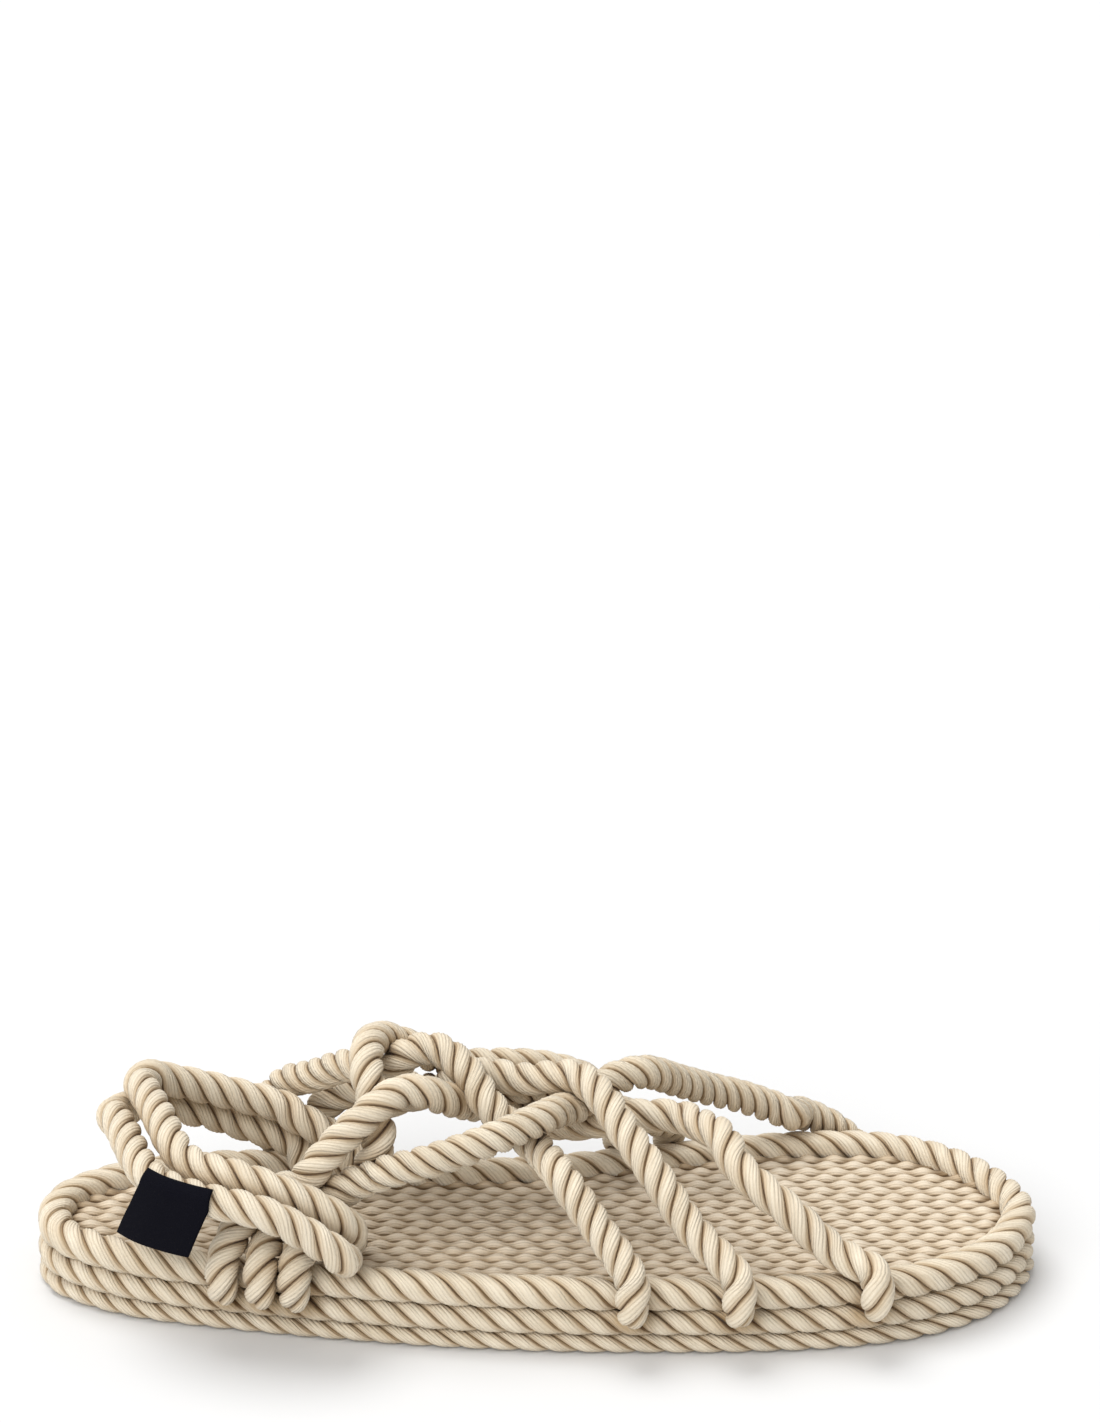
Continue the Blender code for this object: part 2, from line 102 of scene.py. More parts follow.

# %% [markdown]
# The six front straps were laid one by one, over and under one another. A simulated rope wouldn't come to
# rest as the photograph shows it, so each route is a list of points. A strap has the place where it is
# tucked under the rim at the forefoot and at the heel, the side of its forefoot end (-1 near, 1 far), how
# far back it leans there on its way up, and the points that it passes over the instep to the other side.

# %% The front straps' routes, as shares of the length, the width and the instep's height
FRONT_STRAPS = {
    "near_first": dict(
        forefoot=0.593,
        heel=0.229,
        side=-1,
        lean=0.000,
        route=[
            # along, across, up
            (0.554, -0.410, 0.521),
            (0.523, -0.300, 0.636),
            (0.502, -0.180, 0.664),
            (0.464, -0.110, 0.757),
            (0.449, -0.085, 0.816),
            (0.435, -0.035, 0.882),
            (0.422, 0.000, 0.920),
            (0.408, 0.030, 0.948),
            (0.394, 0.050, 0.950),
            (0.372, 0.065, 0.921),
            (0.352, 0.090, 0.821),
            (0.329, 0.135, 0.807),
            (0.309, 0.190, 0.779),
            (0.273, 0.280, 0.671),
            (0.248, 0.350, 0.600),
            (0.232, 0.395, 0.507),
        ],
    ),
    "near_second": dict(
        forefoot=0.695,
        heel=0.266,
        side=-1,
        lean=0.000,
        route=[
            (0.650, -0.425, 0.500),
            (0.611, -0.310, 0.679),
            (0.584, -0.210, 0.779),
            (0.562, -0.110, 0.857),
            (0.539, -0.030, 0.879),
            (0.511, 0.010, 0.850),
            (0.484, 0.040, 0.821),
            (0.461, 0.065, 0.821),
            (0.441, 0.090, 0.807),
            (0.421, 0.125, 0.750),
            (0.393, 0.180, 0.679),
            (0.364, 0.240, 0.650),
            (0.329, 0.310, 0.600),
            (0.296, 0.345, 0.536),
            (0.277, 0.360, 0.450),
        ],
    ),
    "near_third": dict(
        forefoot=0.823,
        heel=0.304,
        side=-1,
        lean=0.000,
        route=[
            (0.791, -0.425, 0.393),
            (0.745, -0.380, 0.543),
            (0.698, -0.290, 0.664),
            (0.682, -0.195, 0.731),
            (0.663, -0.110, 0.720),
            (0.642, -0.040, 0.710),
            (0.582, 0.000, 0.684),
            (0.552, 0.050, 0.623),
            (0.515, 0.112, 0.583),
            (0.488, 0.192, 0.597),
            (0.457, 0.235, 0.629),
            (0.429, 0.270, 0.629),
            (0.400, 0.295, 0.600),
            (0.375, 0.315, 0.564),
            (0.346, 0.335, 0.514),
            (0.323, 0.345, 0.443),
        ],
    ),
    "far_first": dict(
        forefoot=0.591,
        heel=0.237,
        side=1,
        lean=0.000,
        route=[
            (0.554, 0.330, 0.607),
            (0.512, 0.270, 0.714),
            (0.475, 0.230, 0.757),
            (0.422, 0.231, 0.761),
            (0.379, 0.169, 0.868),
            (0.346, 0.128, 0.944),
            (0.333, 0.031, 0.973),
            (0.332, -0.060, 0.929),
            (0.341, -0.130, 0.811),
            (0.345, -0.185, 0.731),
            (0.341, -0.203, 0.656),
            (0.325, -0.200, 0.549),
            (0.304, -0.200, 0.479),
            (0.275, -0.205, 0.414),
            (0.254, -0.255, 0.407),
            (0.241, -0.315, 0.403),
        ],
    ),
    "far_second": dict(
        forefoot=0.643,
        heel=0.200,
        side=1,
        lean=0.000,
        route=[
            (0.611, 0.335, 0.443),
            (0.582, 0.265, 0.521),
            (0.550, 0.205, 0.586),
            (0.521, 0.170, 0.671),
            (0.493, 0.145, 0.721),
            (0.465, 0.120, 0.705),
            (0.446, 0.071, 0.692),
            (0.426, -0.016, 0.757),
            (0.408, -0.083, 0.823),
            (0.388, -0.125, 0.879),
            (0.366, -0.150, 0.896),
            (0.346, -0.192, 0.871),
            (0.327, -0.225, 0.821),
            (0.307, -0.255, 0.757),
            (0.289, -0.280, 0.686),
            (0.270, -0.300, 0.607),
            (0.239, -0.310, 0.564),
            (0.216, -0.325, 0.486),
        ],
    ),
    "far_third": dict(
        forefoot=0.843,
        heel=0.270,
        side=1,
        lean=0.070,
        route=[
            (0.759, 0.435, 0.395),
            (0.738, 0.420, 0.441),
            (0.706, 0.375, 0.517),
            (0.675, 0.325, 0.583),
            (0.644, 0.250, 0.670),
            (0.604, 0.130, 0.793),
            (0.575, 0.085, 0.789),
            (0.552, 0.045, 0.750),
            (0.539, -0.030, 0.753),
            (0.521, -0.100, 0.779),
            (0.501, -0.180, 0.797),
            (0.454, -0.270, 0.769),
            (0.396, -0.310, 0.707),
            (0.353, -0.300, 0.652),
            (0.340, -0.290, 0.623),
            (0.307, -0.285, 0.563),
            (0.283, -0.305, 0.471),
            (0.274, -0.348, 0.411),
        ],
    ),
}
print("front straps:", {key: len(strap["route"]) for key, strap in FRONT_STRAPS.items()})

# %% [markdown]
# The two ropes of the heel strap go from the near side round the back to the far side. They are lists of
# points as well. Their height is a share of the strap's own height, and their ends rest on the rim or the
# footbed.

# %% The heel ropes' routes
HEEL_ROPES = {
    "heel_strap_upper": dict(
        seats=("footbed", "footbed"),
        ends=((0.316, -0.250), (0.327, 0.175)),
        route=[
            # along, across, up
            (0.316, -0.300, 0.424),
            (0.317, -0.360, 0.538),
            (0.301, -0.402, 0.645),
            (0.280, -0.407, 0.711),
            (0.241, -0.405, 0.793),
            (0.202, -0.375, 0.836),
            (0.174, -0.335, 0.838),
            (0.156, -0.294, 0.851),
            (0.143, -0.240, 0.884),
            (0.135, -0.180, 0.906),
            (0.123, -0.080, 0.928),
            (0.113, -0.000, 0.936),
            (0.105, 0.070, 0.942),
            (0.113, 0.125, 0.939),
            (0.132, 0.165, 0.885),
            (0.171, 0.204, 0.809),
            (0.211, 0.220, 0.742),
            (0.241, 0.218, 0.703),
            (0.261, 0.203, 0.643),
            (0.279, 0.196, 0.602),
            (0.304, 0.185, 0.505),
        ],
    ),
    "heel_strap_lower": dict(
        seats=("rim", "footbed"),
        ends=((0.314, -0.446), (0.268, 0.206)),
        route=[
            (0.312, -0.496, 0.500),
            (0.299, -0.516, 0.572),
            (0.278, -0.515, 0.644),
            (0.262, -0.515, 0.691),
            (0.242, -0.515, 0.743),
            (0.213, -0.495, 0.772),
            (0.184, -0.465, 0.777),
            (0.164, -0.435, 0.778),
            (0.143, -0.399, 0.785),
            (0.123, -0.341, 0.796),
            (0.112, -0.283, 0.809),
            (0.103, -0.217, 0.825),
            (0.095, -0.147, 0.840),
            (0.089, -0.092, 0.847),
            (0.080, -0.022, 0.841),
            (0.082, 0.067, 0.795),
            (0.096, 0.132, 0.775),
            (0.111, 0.181, 0.738),
            (0.129, 0.214, 0.702),
            (0.149, 0.237, 0.668),
            (0.169, 0.252, 0.635),
            (0.189, 0.258, 0.595),
            (0.210, 0.255, 0.561),
            (0.237, 0.254, 0.517),
            (0.252, 0.247, 0.483),
            (0.261, 0.233, 0.441),
        ],
    ),
}
print("heel ropes:", {key: len(shape["route"]) for key, shape in HEEL_ROPES.items()})

# %% [markdown]
# A rope is made along a smooth line. Bezier curves would need two handles at every point of the tables, so
# the line goes through the points as a centripetal Catmull-Rom spline, which needs none. It is then read
# again at even steps, so that the twist is even too.

# %% Smooth lines
def smooth_curve(points, steps=16, closed=False):
    """The centripetal Catmull-Rom curve through the points.

    Each piece blends the straight lines between four neighbouring points. The points are set apart in time
    by the square root of their distance, which keeps tight bends free of loops.
    """
    knots = np.asarray(points, float)
    if closed:
        knots = np.concatenate([knots[-1:], knots, knots[:2]])
    else:
        knots = np.concatenate([2 * knots[:1] - knots[1:2], knots, 2 * knots[-1:] - knots[-2:-1]])
    pieces = []
    for p0, p1, p2, p3 in zip(knots, knots[1:], knots[2:], knots[3:]):
        t1 = np.linalg.norm(p1 - p0) ** 0.5
        t2 = t1 + np.linalg.norm(p2 - p1) ** 0.5
        t3 = t2 + np.linalg.norm(p3 - p2) ** 0.5
        t = np.linspace(t1, t2, steps, endpoint=False)[:, None]
        a1 = (t1 - t) / t1 * p0 + t / t1 * p1
        a2 = (t2 - t) / (t2 - t1) * p1 + (t - t1) / (t2 - t1) * p2
        a3 = (t3 - t) / (t3 - t2) * p2 + (t - t2) / (t3 - t2) * p3
        b1 = (t2 - t) / t2 * a1 + t / t2 * a2
        b2 = (t3 - t) / (t3 - t1) * a2 + (t - t1) / (t3 - t1) * a3
        pieces.append((t2 - t) / (t2 - t1) * b1 + (t - t1) / (t2 - t1) * b2)
    if not closed:
        pieces.append(knots[-2:-1])
    return np.concatenate(pieces)


def evenly(curve, count, closed=False):
    """The curve read again at count even places along it, by straight lines between its own points."""
    if closed:
        curve = np.concatenate([curve, curve[:1]])
    along = np.concatenate([[0], np.cumsum(np.linalg.norm(np.diff(curve[:, :3], axis=0), axis=1))])
    places = np.linspace(0, along[-1], count, endpoint=not closed)
    return np.stack([np.interp(places, along, column) for column in curve.T], axis=1)


def length_of(curve):
    """The length of a line: the sum of the distances from each of its points to the next."""
    return float(np.linalg.norm(np.diff(curve[:, :3], axis=0), axis=1).sum())


def sole_loop():
    """The middle of the edge ropes seen from above, counter-clockwise from the heel.

    Place = (radius + share * length, share * width), with a rope's radius taken off each end and each side.
    """
    length = SOLE_LENGTH - 2 * ROPE_RADIUS
    width = BALL_WIDTH - 2 * ROPE_RADIUS
    near = [(ROPE_RADIUS + along * length, low * width, 0) for along, low, high in SOLE_LINE]
    far = [(ROPE_RADIUS + along * length, high * width, 0) for along, low, high in SOLE_LINE]
    tips = (ROPE_RADIUS, 0, 0), (ROPE_RADIUS + length, TOE_TIP_ACROSS * width, 0)
    return smooth_curve([tips[0], *near, tips[1], *reversed(far)], closed=True)


# The frame's own box gives the shift from the tables' heel and middle line to the part's origin
low_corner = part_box("top_rope")[0]
LOOP = sole_loop()
SHIFT = np.array([low_corner.x, low_corner.y - LOOP[:, 1].min() + ROPE_RADIUS, 0.0])
LOOP = LOOP + SHIFT
print("edge rope length:", round(length_of(LOOP), 3), "shift:", SHIFT.round(4))

# %% [markdown]
# A strap is tucked between two turns of the edge, comes out under the rim and turns up over it. Points set
# by hand would cut into the rim here and there, so the hook is worked out from the rim's own oval section
# and keeps a small gap off it all the way.

# %% Hooks over the rim
RIM_STEPS = 66  # as many as in the CAD part
LINE = evenly(LOOP, RIM_STEPS, closed=True)

# The angle about the rim rope, below or above the level of its axis, then the strap's thickness and its
# slack above the rim, as shares of its radius. It thins where it is tucked in
HOOK = [
    # angle, thickness, slack
    (-36.0, 0.42, 0.00),
    (-14.0, 0.82, 0.00),
    (14.0, 0.98, 0.04),
    (45.0, 1.00, 0.14),
]


def unit(vectors):
    """Each vector divided by its length."""
    return vectors / np.linalg.norm(vectors, axis=-1, keepdims=True)


def outward(line):
    """The way out of a flat closed line at each of its points: the tangent turned a quarter to the right."""
    tangent = unit(np.roll(line, -1, axis=0) - np.roll(line, 1, axis=0))
    return np.stack([tangent[:, 1], -tangent[:, 0], np.zeros(len(line))], axis=1)


def rim_at(x, side):
    """The middle of the rim at this x on the near (-1) or far (1) side, and the way out there."""
    rows = np.concatenate([LINE, outward(LINE)], axis=1)
    rows = rows[(rows[:, 1] - SHIFT[1]) * side > 0]
    rows = rows[np.argsort(rows[:, 0])]
    here = np.array([np.interp(x, rows[:, 0], column) for column in rows.T])
    return here[:3], unit(here[3:])


def hook(along, side, lean=0.0):
    """A strap's end where it turns over the rim and is tucked between two turns of the edge.

    Place = the rim's middle + reach * (outward * cos angle + up * sin angle), where the reach is the rim's
    oval at that angle, the gap, and the strap's own radius with its slack.
    """
    rows = []
    for angle, thickness, slack in HOOK:
        risen = (angle - HOOK[0][0]) / (HOOK[-1][0] - HOOK[0][0])
        middle, out = rim_at((along - lean * risen) * SOLE_LENGTH + SHIFT[0], side)
        c = math.cos(math.radians(angle))
        s = math.sin(math.radians(angle))
        rim = 1 / math.hypot(c / ROPE_RADIUS, s / (TOP_ROPE_HEIGHT / 2))
        reach = rim + GAP + (thickness + slack) * ROPE_RADIUS
        place = middle + out * reach * c + (0, 0, TOP_ROPE_AXIS + reach * s)
        rows.append((*place, thickness * ROPE_RADIUS))
    return rows


print("a hook's heights:", [round(row[2], 4) for row in hook(FRONT_STRAPS["near_first"]["forefoot"], -1)])

# %% [markdown]
# The straps' lines now join a hook, the listed points and a second hook. The heel ropes have no hooks: they
# start and end on the footbed or on the rim, at the height where the rope just rests on it.

# %% Middle lines
def by_hand(rows, height):
    """The tables' shares as places with the rope's radius: share * (length, width, height) + shift."""
    shares = np.array(rows) * (SOLE_LENGTH, BALL_WIDTH, height)
    return [(*place, ROPE_RADIUS) for place in shares + SHIFT]


def strap_curve(strap):
    """One front strap's line, with its radius as a fourth column."""
    start = hook(strap["forefoot"], strap["side"], strap["lean"])
    end = hook(strap["heel"], -strap["side"])
    return smooth_curve([*start, *by_hand(strap["route"], INSTEP_HEIGHT), *reversed(end)])


def heel_curve(rope):
    """One heel rope's line, with its radius as a fourth column."""
    seat = {"footbed": FOOTBED_HEIGHT + GAP + ROPE_RADIUS, "rim": SOLE_THICKNESS + GAP + ROPE_RADIUS}
    first, last = (
        (along, across, seat[name] / HEEL_STRAP_HEIGHT)
        for (along, across), name in zip(rope["ends"], rope["seats"])
    )
    return smooth_curve(by_hand([first, *rope["route"], last], HEEL_STRAP_HEIGHT))


MIDDLE_LINES = {
    "bottom_rope": LOOP + (0, 0, BOTTOM_ROPE_HEIGHT / 2),
    "middle_rope": LOOP + (0, 0, MIDDLE_ROPE_BASE + MIDDLE_ROPE_HEIGHT / 2),
    "top_rope": LOOP + (0, 0, TOP_ROPE_AXIS),
}
MIDDLE_LINES.update({key: strap_curve(strap)[:, :3] for key, strap in FRONT_STRAPS.items()})
MIDDLE_LINES.update({key: heel_curve(shape)[:, :3] for key, shape in HEEL_ROPES.items()})
print("middle lines:", {key: round(length_of(line), 3) for key, line in MIDDLE_LINES.items()})

# %% [markdown]
# Little light reaches the places where ropes lie close together. Soft studio light shades them only a little
# in a render, so each piece also carries a number for how near its surface is to another rope, and the
# finish paints shade there by that number. It is worked out from the middle lines of all the ropes, which is
# quick and looks the same from every side.

# %% Closeness
CLOSE_REACH = 0.0048  # beyond a rope's surface by this much, nothing darkens
CLOSE_PLACES = 260  # on each middle line
EDGE_TURNS = ("bottom_rope", "middle_rope", "top_rope")


def closeness(points, *own):
    """How near each point is to a rope other than its own, for points of any shape (..., 3).

    Closeness = 1 - (distance to the nearest middle line - rope radius) / reach, kept between 0 and 1.
    """
    flat = points.reshape(-1, 3)
    lines = [line for key, line in MIDDLE_LINES.items() if key not in own]
    others = np.concatenate([evenly(line, CLOSE_PLACES) for line in lines])
    squares = (flat ** 2).sum(1)[:, None] + (others ** 2).sum(1)[None] - 2 * flat @ others.T
    gap = np.sqrt(np.clip(squares.min(1), 0, None)) - ROPE_RADIUS
    return np.clip(1 - gap / CLOSE_REACH, 0, 1).reshape(points.shape[:-1])


under_straps = closeness(MIDDLE_LINES["top_rope"] + (0, 0, TOP_ROPE_HEIGHT / 2), *EDGE_TURNS) > 0
print("share of the rim's top that is near a strap:", round(float(under_straps.mean()), 2))

# %% [markdown]
# Three strands twisted together to the right make each rope. A picture of rope on a smooth tube would keep
# a smooth outline, so the strands are real here. Seen along the rope, each strand's middle goes round in a
# circle, and the strand itself is an oval there because it is cut at a slant. The ovals overlap deep
# inside, which leaves the sharp valleys between strands. Pressed ropes, such as the turns of the sole, are
# the same rope with its section made lower. The points carry a number for how deep they lie in a valley.

# %% Twisted rope
LAY_LENGTH = 0.0238  # one full turn of a strand round its rope, at the edge
STRAND_OUT = 0.52  # the strand's middle from the rope's axis, as a share of the rope's radius
STRAND_HIGH = 0.48  # the strand's half height, away from the axis
STRAND_WIDE = 0.62  # the strand's half width, round the axis
STRAND_SIDES = 12
RING_STEP = 0.0011  # along the rope
VALLEY_REACH = 0.66  # up to this share of the rope's radius, a point is as deep as can be
SQUARE_SHARE = 0.7  # how far a stacked rope's section goes from round to square


def frames_along(line, closed, start):
    """Two directions across the line at each place, turned as little as possible from one place to the next.

    Normal = the last normal less its part along the tangent, made one long. The other is tangent x normal.
    """
    if closed:
        tangents = unit(np.roll(line, -1, axis=0) - np.roll(line, 1, axis=0))
    else:
        tangents = unit(np.gradient(line, axis=0))
    normal = np.array(start, float)
    normals = []
    for tangent in tangents:
        normal = normal - tangent * (normal @ tangent)
        normal = normal / np.linalg.norm(normal)
        normals.append(normal)
    return np.array(normals), np.cross(tangents, normals)


def rope_points(line, radii, flatten, closed, lay=LAY_LENGTH, square=False, start=(0, 0, 1), phase=0.0):
    """The strands of one rope as points (strand, ring, side), with their length and each point's depth.

    Point = line + rope radius * (out + high cos a) * outward + rope radius * wide sin a * round, with the
    outward direction turning once in each lay length. flatten makes the section lower along the first
    direction across, and square fills its corners, as in ropes that are stacked and pressed.
    """
    count = round(length_of(line) / RING_STEP)
    rows = evenly(np.column_stack([line, radii, flatten]), count, closed)
    places, radius, low = rows[:, :3], rows[:, 3], rows[:, 4]
    normals, besides = frames_along(places, closed, start)
    along = np.arange(count) / (count if closed else count - 1)
    whole = length_of(np.concatenate([line, line[:1]]) if closed else line)
    rounds = round(whole / lay) if closed else whole / lay
    turn = phase + 2 * math.pi * rounds * along
    strand = 2 * math.pi * np.arange(3)[:, None, None] / 3
    angle = 2 * math.pi * np.arange(STRAND_SIDES)[None, None, :] / STRAND_SIDES
    way = turn[None, :, None] + strand
    out = STRAND_OUT + STRAND_HIGH * np.cos(angle)
    beside = STRAND_WIDE * np.sin(angle)
    across_n = out * np.cos(way) - beside * np.sin(way)
    across_b = out * np.sin(way) + beside * np.cos(way)
    deep = 1 - np.clip((np.hypot(across_n, across_b) - VALLEY_REACH) / (1 - VALLEY_REACH), 0, 1)
    if square:
        across_n = across_n + SQUARE_SHARE * (np.sin(across_n * math.pi / 2) - across_n)
    r = radius[None, :, None]
    points = (
        places[None, :, None]
        + (across_n * r * low[None, :, None])[..., None] * normals[None, :, None]
        + (across_b * r)[..., None] * besides[None, :, None]
    )
    strand_length = whole * math.hypot(1, 2 * math.pi * STRAND_OUT * ROPE_RADIUS / lay)
    uv = np.broadcast_to(np.linspace(0, strand_length, count + 1)[None], (3, count + 1))
    return points, uv, deep


straight = np.linspace((0, 0, 0), (LAY_LENGTH, 0, 0), 40)
points, uv, deep = rope_points(straight, np.full(len(straight), ROPE_RADIUS), np.ones(len(straight)), False)
print("one turn of rope:", points.shape, "and", round(float(np.ptp(points[..., 1])), 4), "wide")

# %% [markdown]
# Points become a mesh here. A curve object with a bevel would make a tube too, but not a twisted one, so
# the faces are written out from the grid: four neighbours make a face, each ring closes on itself, and the
# ends of an open strand get a cap. The mesh carries the numbers for the finish: how deep a point lies, the
# tint of its strand, and how close it is to another rope.

# %% Mesh from a grid
STRAND_TINTS = (0.2, 0.5, 0.8)


def grid_mesh(name, points, uv, layers, closed, caps):
    """A mesh of wrapped grids: points is (grids, rings, sides, 3). Rings join end to end when closed.

    A face = (ring, side), (ring, side + 1), (ring + 1, side + 1), (ring + 1, side). Its place in the UV map
    is the share of the way round the strand, and the strand's length so far.
    """
    grids, rings, sides = points.shape[:3]
    start = (np.arange(grids) * rings * sides)[:, None, None]
    last = rings if closed else rings - 1
    r = np.arange(last)[None, :, None]
    s = np.arange(sides)[None, None, :]
    here = start + r * sides + s
    side = start + r * sides + (s + 1) % sides
    up = start + (r + 1) % rings * sides + s
    corner = start + (r + 1) % rings * sides + (s + 1) % sides
    quads = np.stack([here, side, corner, up], axis=-1).reshape(-1, 4)
    corners = quads.reshape(-1)
    starts = np.arange(len(quads)) * 4
    if caps:
        ring = np.arange(sides)
        ends = np.concatenate([start[:, 0] + ring[::-1], start[:, 0] + (rings - 1) * sides + ring])
        starts = np.concatenate([starts, len(corners) + np.arange(len(ends)) * sides])
        corners = np.concatenate([corners, ends.reshape(-1)])
    mesh = bpy.data.meshes.new(name)
    mesh.vertices.add(grids * rings * sides)
    mesh.vertices.foreach_set("co", points.reshape(-1).astype(np.float32))
    mesh.loops.add(len(corners))
    mesh.loops.foreach_set("vertex_index", corners.astype(np.int32))
    mesh.polygons.add(len(starts))
    mesh.polygons.foreach_set("loop_start", starts.astype(np.int32))
    mesh.update(calc_edges=True)
    # The seam of the map lies on the inner side of each strand, half way round from its crown
    u = ((s + sides // 2) % sides + np.array([0, 1, 1, 0])[:, None, None, None]) / sides
    u = np.broadcast_to(u, (4, grids, last, sides))
    ring_now = uv[:, :last, None]
    ring_next = uv[:, 1 : last + 1, None]
    v = np.stack([np.broadcast_to(row, u.shape[1:]) for row in (ring_now, ring_now, ring_next, ring_next)])
    flat = np.stack([np.moveaxis(u, 0, -1), np.moveaxis(v, 0, -1)], axis=-1).reshape(-1, 2)
    whole = np.zeros((len(corners), 2), np.float32)
    whole[: len(flat)] = flat
    mesh.uv_layers.new(name="strand").data.foreach_set("uv", whole.reshape(-1))
    for key, values in layers.items():
        attribute = mesh.attributes.new(key, "FLOAT", "POINT")
        attribute.data.foreach_set("value", values.reshape(-1).astype(np.float32))
    mesh.shade_smooth()
    obj = bpy.data.objects.new(name, mesh)
    bpy.context.scene.collection.objects.link(obj)
    return obj


def rope(name, own, line, radii=None, flatten=None, closed=False, **more):
    """One rope as an object, with the depth and closeness of its points and the tints of its strands."""
    radii = np.full(len(line), ROPE_RADIUS) if radii is None else radii
    flatten = np.ones(len(line)) if flatten is None else flatten
    points, uv, deep = rope_points(line, radii, flatten, closed, **more)
    tint = np.broadcast_to(np.array(STRAND_TINTS)[:, None, None], deep.shape)
    # deep and close drive the painted shade of the finish: the valleys between strands and the places near
    # other ropes
    layers = {"deep": deep, "tint": tint, "close": closeness(points, *own)}
    return grid_mesh(name, points, uv, layers, closed, caps=not closed)


def joined(name, objects):
    """Several objects as one, with their attributes kept."""
    with bpy.context.temp_override(active_object=objects[0], selected_editable_objects=objects):
        bpy.ops.object.join()
    objects[0].name = name
    objects[0].data.name = name
    return objects[0]


print("each strand:", STRAND_SIDES, "sides, a ring every", RING_STEP, "m")

# %% [markdown]
# The edge of the sole is one long rope laid in three turns. It could be one spiral, but three closed loops
# are what the frame has. The floor and the foot press them: the bottom turn is less than half as high as it
# is wide. Each loop has a whole number of twists, so its pattern has no seam.

# %% Edge ropes
EDGE_PLACES = 400


def edge_rope(node, name, base, height, phase):
    """One turn: a rope along the sole's loop, half its height above its base, and pressed to that height."""
    line = evenly(LOOP, EDGE_PLACES, closed=True) + (0, 0, base + height / 2)
    flat = np.full(len(line), height / (2 * ROPE_RADIUS))
    obj = rope(name, EDGE_TURNS, line, flatten=flat, closed=True, square=True, phase=phase)
    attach(obj, "root")
    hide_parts(node)
    return obj


edges = [
    # node, name, height of its base, its own height, turn of its twist
    edge_rope("bottom_rope", "edge_turn_bottom", 0.0, BOTTOM_ROPE_HEIGHT, 0.4),
    edge_rope("middle_rope", "edge_turn_middle", MIDDLE_ROPE_BASE, MIDDLE_ROPE_HEIGHT, 1.5),
    edge_rope("top_rope", "edge_turn_top", TOP_ROPE_BASE, TOP_ROPE_HEIGHT, 0.0),
]
print("edge ropes:", [len(o.data.polygons) for o in edges])

# %% [markdown]
# The footbed is a woven mat. Its cords run side by side from heel to toe, and each goes over and under the
# cross threads in turn, a half step off from its neighbours. That leaves short floats with a dark dash at
# the end of each. A bump alone would look flat when the mat is seen along the sole, so the cords are made:
# each is an oval section that rises, widens and dips again, and its sides and dips get painted shade, darker
# the lower they lie. The cross threads stay hidden and aren't made. Every cord ends under the middle of the
# edge. The sole's underside is the same, and a slab fills the middle.

# %% Footbed
MAT_CORDS = 22
CORD_PITCH = 0.0041
CORD_HIGH = 0.0016  # half the cord's height
CORD_WIDE = 0.0024  # half its width
CORD_SWELL = 0.07  # how much of its width comes and goes with each float
FLOAT_STEP = 0.0078  # from one float of a cord to its next
FLOAT_RISE = 0.0009
FLOAT_DRIFT = 0.8  # how far the floats stray from an even beat, in radians
CROWN_RISE = 0.0004  # of the cords above the frame's footbed
SHORTEST_CORD = 0.010
# The mat's painted shade grows with depth below the crowns of its cords
MAT_DARK_AT = 0.0017  # this far below its crowns the mat is as dark as a valley
MAT_PLACES = 240  # along the sole, where the two sides of its edge are read
MAT_ENDS = 0.002  # left free between the edge's middle line and the cords, at heel and toe
SLAB_PLACES = 90
SLAB_LOW = 0.0024
SLAB_TOP = FOOTBED_HEIGHT - 0.0022


def mat_cords(level, facing, step, sides):
    """The cords of one face as points (ring, side), with how deep they lie and their tint.

    Place = (x, y - facing * wide * swell * sin a, level - facing * (high + dip - high cos a)), where the
    dip and the swell follow one cosine along the cord. A cord is cut where it would leave the edge.
    """
    coarse = np.linspace(LINE[:, 0].min() + MAT_ENDS, LINE[:, 0].max() - MAT_ENDS, MAT_PLACES)
    edges_y = [np.array([rim_at(x, side)[0][1] for x in coarse]) for side in (-1, 1)]
    xs = np.arange(coarse[0], coarse[-1], step)
    near, far = (np.interp(xs, coarse, y) for y in edges_y)
    middle = (LINE[:, 1].min() + LINE[:, 1].max()) / 2
    angle = 2 * math.pi * np.arange(sides) / sides
    made = []
    for cord in range(MAT_CORDS):
        y = middle + (cord - (MAT_CORDS - 1) / 2) * CORD_PITCH
        tint = 0.3 + 0.2 * (cord % 3)
        inside = np.flatnonzero((y - CORD_WIDE > near) & (y + CORD_WIDE < far))
        for run in np.split(inside, np.flatnonzero(np.diff(inside) > 1) + 1):
            if len(run) * step < SHORTEST_CORD:
                continue
            x = xs[run][:, None]
            drift = FLOAT_DRIFT * np.sin(60 * x + 2.3 * cord)
            swing = np.cos(2 * math.pi * x / FLOAT_STEP + math.pi * cord + drift)
            across = y - facing * CORD_WIDE * (1 - CORD_SWELL + CORD_SWELL * swing) * np.sin(angle)
            sunk = CORD_HIGH * (1 - np.cos(angle)) + FLOAT_RISE * (1 - swing) / 2
            points = np.stack([x + 0 * across, across, level - facing * sunk], axis=-1)
            # How deep each point lies, for the painted shade on the cords' sides and dips
            made.append((points[None], np.clip(sunk / MAT_DARK_AT, 0, 1)[None], tint))
    return made


def middle_slab():
    """The filling between the two faces: the sole's loop, set in by half a rope's radius, at two heights."""
    inner = evenly(LOOP, SLAB_PLACES, closed=True)
    inner = inner - outward(inner) * (ROPE_RADIUS * 0.5)
    rings = np.stack([inner + (0, 0, SLAB_LOW), inner + (0, 0, SLAB_TOP)])[None]
    shape = rings.shape[:3]
    # The slab gets deep = 1, so the finish paints it with the valleys' dark shade
    layers = {"deep": np.ones(shape), "tint": np.full(shape, 0.5), "close": np.zeros(shape)}
    return grid_mesh("middle_slab", rings, np.zeros((1, 3)), layers, False, True)


